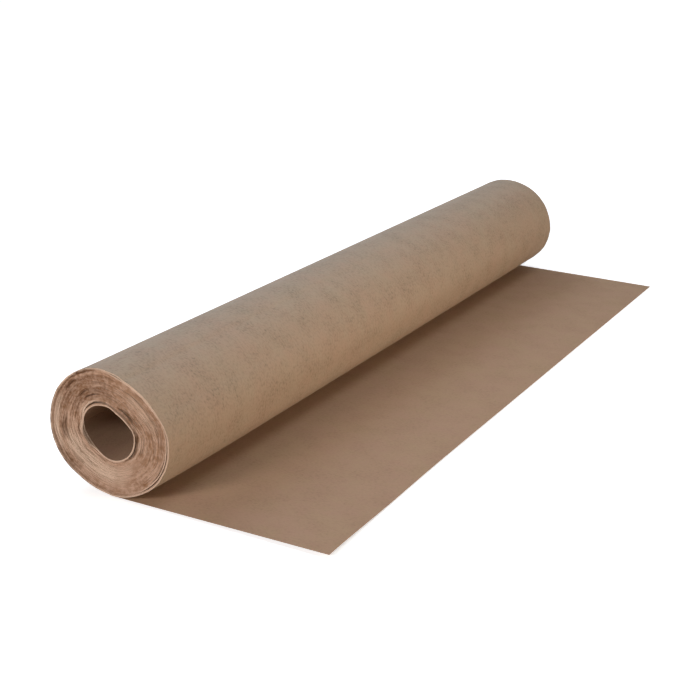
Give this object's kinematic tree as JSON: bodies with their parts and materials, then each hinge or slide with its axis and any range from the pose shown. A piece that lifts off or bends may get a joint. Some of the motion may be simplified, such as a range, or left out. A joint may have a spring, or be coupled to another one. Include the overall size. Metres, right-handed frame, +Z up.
{
  "type": "roll of underlayment paper",
  "caption": "Coreless roll of kraft underlayment paper lying on the floor, with its loose end pulled out flat beside it.",
  "frame": {"origin": "on the floor, straight below the middle of the roll's axis, where the paper leaves the roll", "axes": "+Z up from the floor; +Y along the roll's axis, away from the dished end; +X the way the loose tail lies"},
  "size_m": [0.2814, 0.9167, 0.125],
  "materials": {
    "kraft_paper": "matte"
  },
  "bodies": {
    "root": {"paper_roll": "kraft_paper"}
  },
  "joints": []
}
